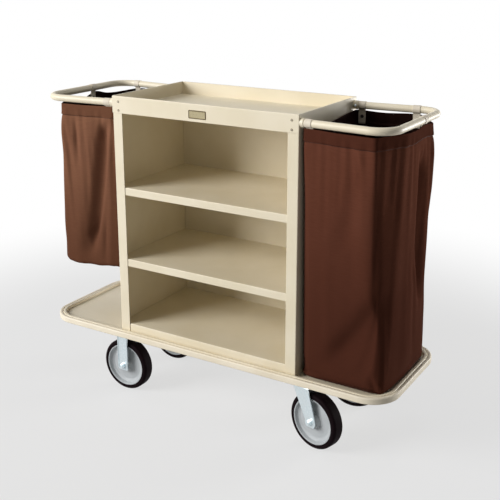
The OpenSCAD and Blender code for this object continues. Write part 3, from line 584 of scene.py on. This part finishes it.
def hang(bag, held):
    """Lets the cloth hang by its hem under gravity, with a little spare width, and keeps what it settles to."""
    start = np.array([v.co for v in bag.data.vertices])
    group = bag.vertex_groups.new(name="held")
    for i, w in enumerate(held):
        if w > 0:
            group.add([i], float(w), "REPLACE")
    cloth = bag.modifiers.new("cloth", "CLOTH")
    for name, value in CLOTH.items():
        setattr(cloth.settings, name, value)
    cloth.collision_settings.use_collision = False
    cloth.point_cache.frame_start = 1
    cloth.point_cache.frame_end = SETTLE_FRAMES
    for step in range(1, SETTLE_FRAMES + 1):
        SCENE.frame_set(step)
    shape = bag.evaluated_get(bpy.context.evaluated_depsgraph_get()).to_mesh()
    moved = np.array([v.co for v in shape.vertices]) - start
    far = np.linalg.norm(moved, axis=1, keepdims=True)
    moved *= np.minimum(1, SETTLE_LIMIT / np.maximum(far, 1e-9))
    bag.modifiers.remove(cloth)
    bag.vertex_groups.remove(group)
    SCENE.frame_set(1)
    return start + moved


def stitch_row(name, line):
    """A row of sewn stitches along a closed line of points, each a small rounded length of thread."""
    line = np.vstack([line, line[:1]])
    run = np.concatenate([[0], np.cumsum(np.linalg.norm(np.diff(line, axis=0), axis=1))])
    count = int(run[-1] / STITCH_PITCH)
    mesh = bmesh.new()
    turns = np.arange(THREAD_SIDES) * math.pi / (THREAD_SIDES / 2)
    around = [(math.cos(a), math.sin(a)) for a in turns]
    for k in range(count):
        mid = (k + 0.5) * run[-1] / count
        tail, head = (
            np.array([np.interp(mid + STITCH * e, run, line[:, a]) for a in range(3)]) for e in (-0.5, 0.5)
        )
        axis = Vector(head - tail).normalized()
        centre = Vector((tail + head) / 2)
        out = axis.cross(Vector((0, 0, 1))).normalized()
        up = out.cross(axis)
        loops = [
            [
                mesh.verts.new(centre + axis * STITCH * e + (out * c + up * q) * THREAD_T / 2 * r)
                for c, q in around
            ]
            for e, r in STATIONS
        ]
        for a, b in zip(loops, loops[1:]):
            for i in range(THREAD_SIDES):
                j = (i + 1) % THREAD_SIDES
                mesh.faces.new((a[i], b[i], b[j], a[j]))
        mesh.faces.new(loops[0])
        mesh.faces.new(loops[-1][::-1])
    bmesh.ops.recalc_face_normals(mesh, faces=mesh.faces)
    for face in mesh.faces:
        face.smooth = True
    return new_piece(name, mesh_of(name, mesh), thread_and_groove_shade)


# Each fold is a path of (depth, perimeter place), its half widths before and after it, and a height; out is +.
# Places start at the near front corner: the front runs to 0.25, the cut corner to 0.39, the end to 0.63, and
# the back from 0.75 to 0.97. cuts gives each far corner's cut along x and along y, sag the top edge's dip and
# drop the bottom edge's, and rests how firmly the bottom is held by what it lies on.
BAGS = {
    "right": {
        "side": 1,
        "cloth": woven_nylon,
        "cuts": {
            "far_front": ((0.052, 0.046, 0.020), (0.140, 0.080, 0.060)),
            "far_back": ((0.078, 0.068, 0.040), (0.100, 0.072, 0.040)),
        },
        "sag": [(0.014, 0), (0.13, 0.003), (0.30, 0.003), (0.46, 0.007), (0.525, 0), (0.62, 0.007), (0.758, 0),
                (0.86, 0.004), (0.957, 0), (1.17, 0.012)],
        "drop": [(0, 0), (0.7, 0)],
        "rests": 0.6,
        "folds": [
            ([(0.08, 0.185), (0.40, 0.130)], 0.035, 0.035, -0.007),
            ([(0.04, 0.212), (0.55, 0.216)], 0.030, 0.030, 0.003),
            ([(0.05, 0.060), (0.80, 0.070)], 0.050, 0.050, 0.003),
            ([(0.50, 0.280), (0.62, 0.205), (0.72, 0.130), (0.80, 0.080)], 0.045, 0.110, -0.019),
            ([(0.04, 0.360), (0.70, 0.350)], 0.050, 0.030, -0.004),
            ([(0.03, 0.450), (0.50, 0.450)], 0.040, 0.030, 0.004),
            ([(0.075, 0.524), (0.40, 0.535), (0.62, 0.565)], 0.021, 0.038, -0.030),
            ([(0.02, 0.605), (0.30, 0.610)], 0.020, 0.020, 0.010),
            ([(0.45, 0.480), (0.85, 0.470)], 0.050, 0.050, 0.012),
            ([(0.02, 0.330), (0.12, 0.318)], 0.011, 0.011, -0.004),
            ([(0.02, 0.180), (0.10, 0.205)], 0.010, 0.010, 0.004),
            ([(0.02, 0.155), (0.09, 0.165)], 0.012, 0.012, -0.003),
            ([(0.80, 0.225), (0.86, 0.245)], 0.014, 0.014, -0.006),
            ([(0.03, 0.700), (0.75, 0.720)], 0.030, 0.030, -0.010),
            ([(0.04, 0.800), (0.70, 0.815)], 0.035, 0.035, -0.009),
            ([(0.05, 0.880), (0.60, 0.870)], 0.030, 0.030, 0.007),
            ([(0.04, 1.060), (0.70, 1.080)], 0.040, 0.040, -0.008),
            ([(0.04, 1.240), (0.75, 1.220)], 0.040, 0.040, 0.006),
        ],
    },
    "left": {
        "side": -1,
        # the left bag's cloth is painted lighter as a sheen
        "cloth": nylon_painted_lighter,
        "cuts": {
            "far_front": ((0.080, 0.057, 0.032), (0.150, 0.098, 0.050)),
            "far_back": ((0.078, 0.068, 0.040), (0.100, 0.072, 0.040)),
        },
        "sag": [(0.014, 0), (0.13, 0.003), (0.28, 0.003), (0.45, 0.017), (0.520, 0), (0.60, 0.015), (0.755, 0),
                (0.86, 0.004), (0.954, 0), (1.17, 0.012)],
        "drop": [(0, -0.004), (0.09, 0.008), (0.18, 0.014), (0.29, 0.004), (0.5, 0.006), (0.8, 0.006),
                 (1.0, 0)],
        "rests": 0.0,
        "folds": [
            ([(0.035, 0.026), (0.16, 0.040), (0.31, 0.062), (0.42, 0.084), (0.58, 0.113)],
             0.022, 0.030, -0.036),
            ([(0.08, 0.115), (0.30, 0.135), (0.70, 0.165)], 0.035, 0.035, 0.005),
            ([(0.04, 0.160), (0.21, 0.150)], 0.014, 0.014, -0.009),
            ([(0.12, 0.000), (0.70, 0.024)], 0.014, 0.014, 0.004),
            ([(0.42, 0.036), (0.60, 0.045)], 0.009, 0.009, -0.006),
            ([(0.02, 0.222), (0.55, 0.236)], 0.020, 0.020, 0.006),
            ([(0.02, 0.300), (0.60, 0.310)], 0.030, 0.030, -0.007),
            ([(0.02, 0.440), (0.60, 0.420)], 0.030, 0.030, 0.009),
            ([(0.075, 0.530), (0.60, 0.545)], 0.028, 0.028, -0.014),
            ([(0.03, 0.700), (0.60, 0.715)], 0.030, 0.030, -0.010),
            ([(0.05, 0.840), (0.60, 0.825)], 0.030, 0.030, 0.008),
            ([(0.04, 1.060), (0.60, 1.080)], 0.040, 0.040, -0.009),
            ([(0.04, 1.240), (0.60, 1.220)], 0.040, 0.040, 0.007),
        ],
    },
}
for end, shape in BAGS.items():
    node = f"{end}_bag"
    side = shape["side"]
    bag, held, n, hem_row, length, height = build_bag(f"{end}_cloth_bag", node, shape)
    settled = hang(bag, held)
    # the cloth lies against the cabinet's side, and never through it
    settled[:, 0] = side * np.maximum(side * settled[:, 0], HALF_W + PANEL_GAP)
    if shape["rests"]:
        settled[:, 2] = np.maximum(settled[:, 2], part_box(node)[0].z)
    bag.data.vertices.foreach_set("co", settled.astype(np.float32).ravel())
    bag.data.update()
    hem_line = np.array([bag.data.vertices[hem_row * n + j].co for j in range(n)])
    outward = hem_line - hem_line.mean(axis=0)
    outward[:, 2] = 0
    outward /= np.linalg.norm(outward, axis=1, keepdims=True)
    thread = stitch_row(f"{end}_hem_stitches", hem_line + outward * THREAD_OUT)
    shell = bag.modifiers.new("cloth thickness", "SOLIDIFY")
    shell.thickness = CLOTH_T
    shell.offset = -1
    # the inner face takes the coating, painted near black partly as shade
    shell.material_offset = 1
    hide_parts(node)
    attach(bag, "cart")
    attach(thread, "cart")


# ---------------------------------------------------------------- straps
STRAP_W = 0.026
STRAP_T = 0.0015
STRAP_CLEAR = 0.00015  # between the webbing's inner face and the tube
TAIL = 0.052  # length of the inner tail below the tube
TAIL_IN = 0.0022  # the tail hangs this far inside the tube's mid line
TAIL_STEP = 0.006
WRAP = range(252, -84, -12)  # degrees round the tube, from the inner tail over the top
ACROSS = (-0.5, -0.46, -0.2, 0.2, 0.46, 0.5)


def strap_path():
    """Mid line of one strap, in the plane across its tube: up the tail, over the tube and round to the tail."""
    radius = TUBE_R + STRAP_T / 2 + STRAP_CLEAR
    path = [(-TAIL_IN, -radius - TAIL + TAIL_STEP * k) for k in range(int(TAIL / TAIL_STEP))]
    path.append((-TAIL_IN - 0.0006, -radius - 0.0012))  # eases the tail into the wrap
    path += [(radius * math.cos(a), radius * math.sin(a)) for a in map(math.radians, WRAP)]
    return path


def build_straps(name, side):
    """All four straps of one bag as one mesh of ribbons, with UV in metres along and across the webbing."""
    mesh = bmesh.new()
    uv = mesh.loops.layers.uv.new("cloth")
    path = strap_path()
    for along, where in STRAP_PLACES:
        middle, axis, out = strap_frame(along, where)
        grid, run = [], 0.0
        for k, (u, w) in enumerate(path):
            if k:
                run += math.dist(path[k - 1], (u, w))
            spot = middle + out * u + Vector((0, 0, w))
            row = []
            for f in ACROSS:
                p = spot + axis * (f * STRAP_W)
                p.x *= side
                row.append((mesh.verts.new(p), run, f * STRAP_W))
            grid.append(row)
        for a, b in zip(grid, grid[1:]):
            for i in range(len(ACROSS) - 1):
                corners = [a[i], b[i], b[i + 1], a[i + 1]]
                face = mesh.faces.new([c[0] for c in corners])
                face.smooth = True
                for loop, c in zip(face.loops, corners):
                    loop[uv].uv = (c[1], c[2])
    straps = new_piece(name, mesh_of(name, mesh), polypropylene_webbing)
    thickness = straps.modifiers.new("webbing thickness", "SOLIDIFY")
    thickness.thickness = STRAP_T
    thickness.offset = 0
    return straps


for end, side in (("right", 1), ("left", -1)):
    webbing = build_straps(f"{end}_webbing", side)
    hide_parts(f"{end}_straps")
    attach(webbing, "cart")


# ---------------------------------------------------------------- blank plate on the apron
PLATE_X = (-0.046, 0.025)
PLATE_Z = (1.117, 1.146)
PLATE_R = 0.004
APRON_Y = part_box("top_tray")[0].y
# Inset from the outline and height off the apron (out is -): the plate's side, the raised border, the field.
PLATE_LEVELS = [(0, 0.0), (0, -0.0009), (0.0004, -0.0012), (0.0030, -0.0012), (0.0034, -0.0008)]


def rounded_rectangle(x0, x1, z0, z1, r, steps=5):
    """Corner-rounded outline, anticlockwise seen from the front."""
    points = []
    corners = ((x1 - r, z1 - r, 0), (x0 + r, z1 - r, 90), (x0 + r, z0 + r, 180), (x1 - r, z0 + r, 270))
    for cx, cz, start in corners:
        for k in range(steps + 1):
            a = math.radians(start + 90 * k / steps)
            points.append((cx + r * math.cos(a), cz + r * math.sin(a)))
    return points


def blank_plate(name):
    """A thin lacquered plate with a sunk field and a raised, darker border. It carries nothing."""
    mesh = bmesh.new()
    loops = []
    for inset, lift in PLATE_LEVELS:
        outline = rounded_rectangle(
            PLATE_X[0] + inset, PLATE_X[1] - inset, PLATE_Z[0] + inset, PLATE_Z[1] - inset, PLATE_R - inset
        )
        loops.append([mesh.verts.new((x, APRON_Y + lift, z)) for x, z in outline])
    for number, (a, b) in enumerate(zip(loops, loops[1:])):
        for i in range(len(a)):
            face = mesh.faces.new((a[i], a[(i + 1) % len(a)], b[(i + 1) % len(a)], b[i]))
            face.material_index = 1 if number else 0  # all but the side is border
    mesh.faces.new(loops[-1])
    mesh.faces.new(loops[0][::-1])
    bmesh.ops.recalc_face_normals(mesh, faces=mesh.faces)
    return new_piece(name, mesh_of(name, mesh), lacquered_aluminium, etched_aluminium)


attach(blank_plate("blank_plate"), "cart")


# ---------------------------------------------------------------- floor and light
FLOOR_HALF = 40  # half of the floor's side
SHADOW_FADE = (1.2, 2.6)  # distances from the cart's middle between which the floor turns plain white
FLOOR_PALE = 0.64  # share of plain white in the floor by the cart
AMBIENT = 0.11  # strength of the world's light on the cart
WHITE = (1, 1, 1, 1)


def seen_directly(tree):
    """1 for what the eye sees straight, in a mirror or through glass; 0 for light that falls on the cart."""
    ray = add(tree, "LightPath")
    seen = ray.outputs["Is Camera Ray"]
    for way in ("Is Glossy Ray", "Is Transmission Ray"):
        seen = add(tree, "Math", {0: seen, 1: ray.outputs[way]}, operation="MAXIMUM").outputs[0]
    return seen


def floor_material():
    """White floor that keeps the shadow near the cart and fades to plain white away from it."""
    material, tree = new_material("white_floor")
    place = add(tree, "TexCoord").outputs["Object"]
    far = add(tree, "VectorMath", {0: place}, operation="LENGTH")
    fade = add(
        tree, "MapRange", {0: far.outputs["Value"], 1: SHADOW_FADE[0], 2: SHADOW_FADE[1]},
        interpolation_type="SMOOTHSTEP",
    )
    pale = add(tree, "MapRange", {0: fade.outputs[0], 3: FLOOR_PALE, 4: 1.0})
    mix = add(tree, "Math", {0: pale.outputs[0], 1: seen_directly(tree)}, operation="MULTIPLY")
    matt = add(tree, "BsdfDiffuse", {"Color": linear("#BEBEBE")})
    white = add(tree, "Emission", {"Color": WHITE, "Strength": 1.0})
    both = add(tree, "MixShader", {0: mix.outputs[0], 1: matt.outputs[0], 2: white.outputs[0]})
    add(tree, "OutputMaterial", {"Surface": both.outputs[0]})
    return material


floor_mesh = bpy.data.meshes.new("floor")
floor_corners = [(FLOOR_HALF * x, FLOOR_HALF * y, 0) for x, y in ((-1, -1), (1, -1), (1, 1), (-1, 1))]
floor_mesh.from_pydata(floor_corners, [], [(0, 1, 2, 3)])
new_piece("floor", floor_mesh, floor_material())

SCENE.world = bpy.data.worlds.new("studio")
SCENE.world.use_nodes = True
sky = SCENE.world.node_tree
sky.nodes.clear()
level = add(sky, "MapRange", {0: seen_directly(sky), 3: AMBIENT, 4: 1.0})
background = add(sky, "Background", {"Color": WHITE, "Strength": level.outputs[0]})
add(sky, "OutputWorld", {"Surface": background.outputs[0]})

# Name, place, aim, size and watts.
LAMPS = [
    ("key_softbox", (-5.475, -6.3, 4.105), (0.15, 0.0, 0.7), 4.8, 848),
    ("side_reflector", (2.6, 2.9, 0.8), (0.6, 0.0, 0.7), 1.4, 100),
    ("overhead_softbox", (0.2, 0.2, 4.4), (0.2, 0.0, 0.8), 2.0, 18),
]
for name, place, aim, size, power in LAMPS:
    lamp = bpy.data.objects.new(name, bpy.data.lights.new(name, "AREA"))
    lamp.data.size = size
    lamp.data.energy = power
    lamp.location = place
    lamp.rotation_euler = (Vector(aim) - Vector(place)).to_track_quat("-Z", "Y").to_euler()
    SCENE.collection.objects.link(lamp)
